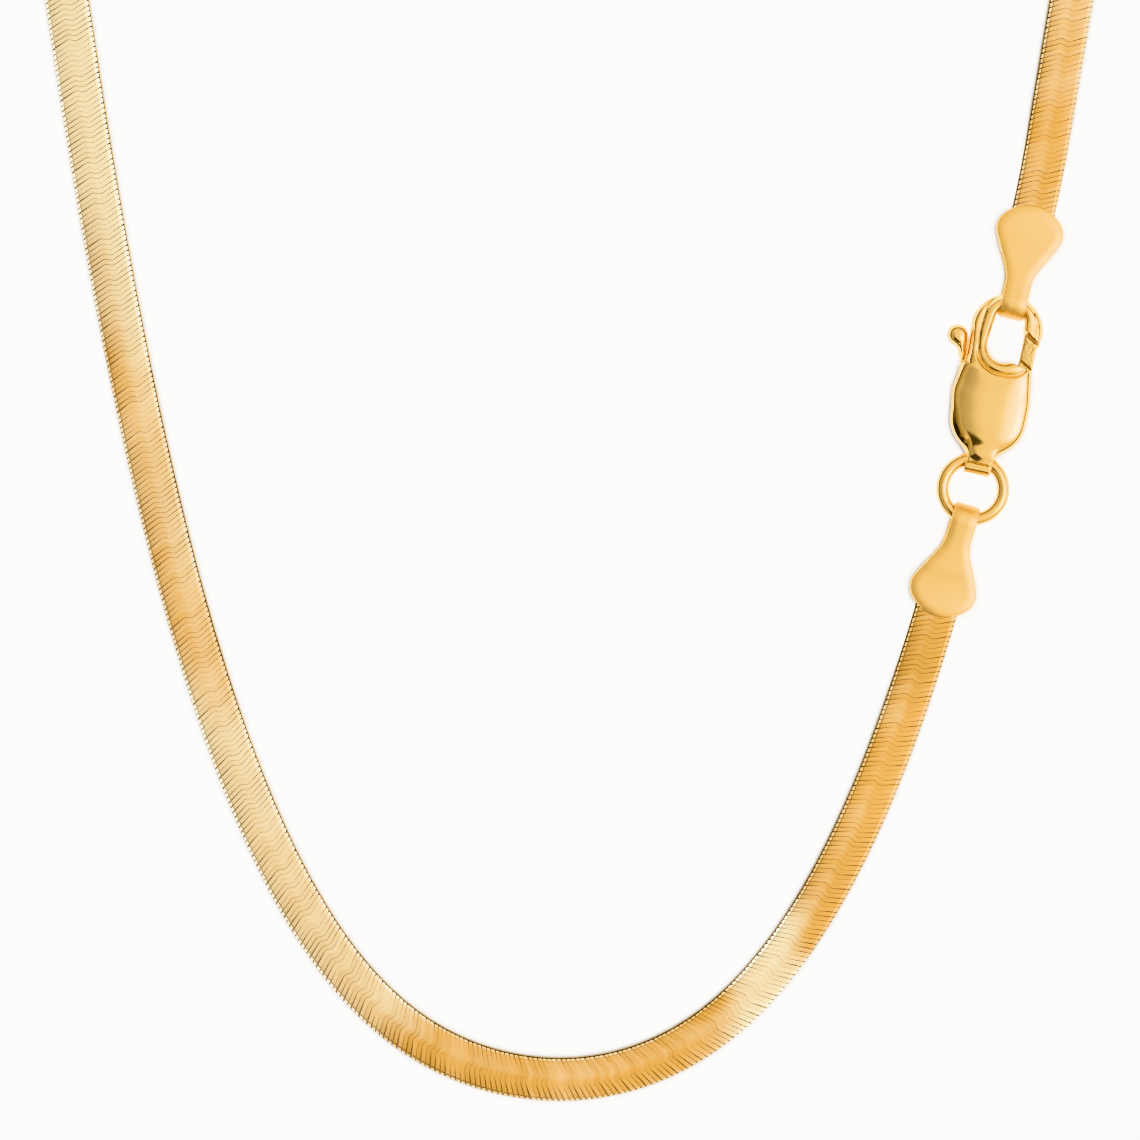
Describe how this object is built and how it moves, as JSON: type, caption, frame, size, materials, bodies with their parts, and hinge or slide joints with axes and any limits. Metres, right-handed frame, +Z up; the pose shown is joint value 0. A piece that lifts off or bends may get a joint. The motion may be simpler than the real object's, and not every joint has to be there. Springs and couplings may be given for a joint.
{
  "type": "herringbone chain necklace",
  "caption": "Flat gold herringbone chain necklace closed by a lobster clasp, laid out face up on a surface in a long loop with folded end tabs and a jump ring.",
  "frame": {"origin": "on the surface it lies on, under the middle of the loop's footprint", "axes": "+Z up from the surface, +Y from the front of the necklace towards its back, +X towards the side with the clasp"},
  "size_m": [0.0996, 0.1886, 0.003],
  "materials": {
    "chain_gold": "satin yellow gold, flattened links",
    "satin_gold": "fine satin yellow gold sheet",
    "polished_gold": "mirror polished yellow gold"
  },
  "bodies": {
    "necklace": {"herringbone_band": "chain_gold", "hook_end_tab": "satin_gold", "ring_end_tab": "satin_gold", "jump_ring": "polished_gold", "clasp_body": "polished_gold", "lever_pin": "polished_gold"},
    "lever": {"clasp_lever": "polished_gold"}
  },
  "joints": [
    {"name": "lever_hinge", "type": "hinge", "parent": "necklace", "child": "lever", "pos_m": [0.03537, -0.03666, 0.0014], "axis": [0, 0, 1], "range_deg": [0, 28], "stiffness_Nm_per_rad": 0.01}
  ]
}
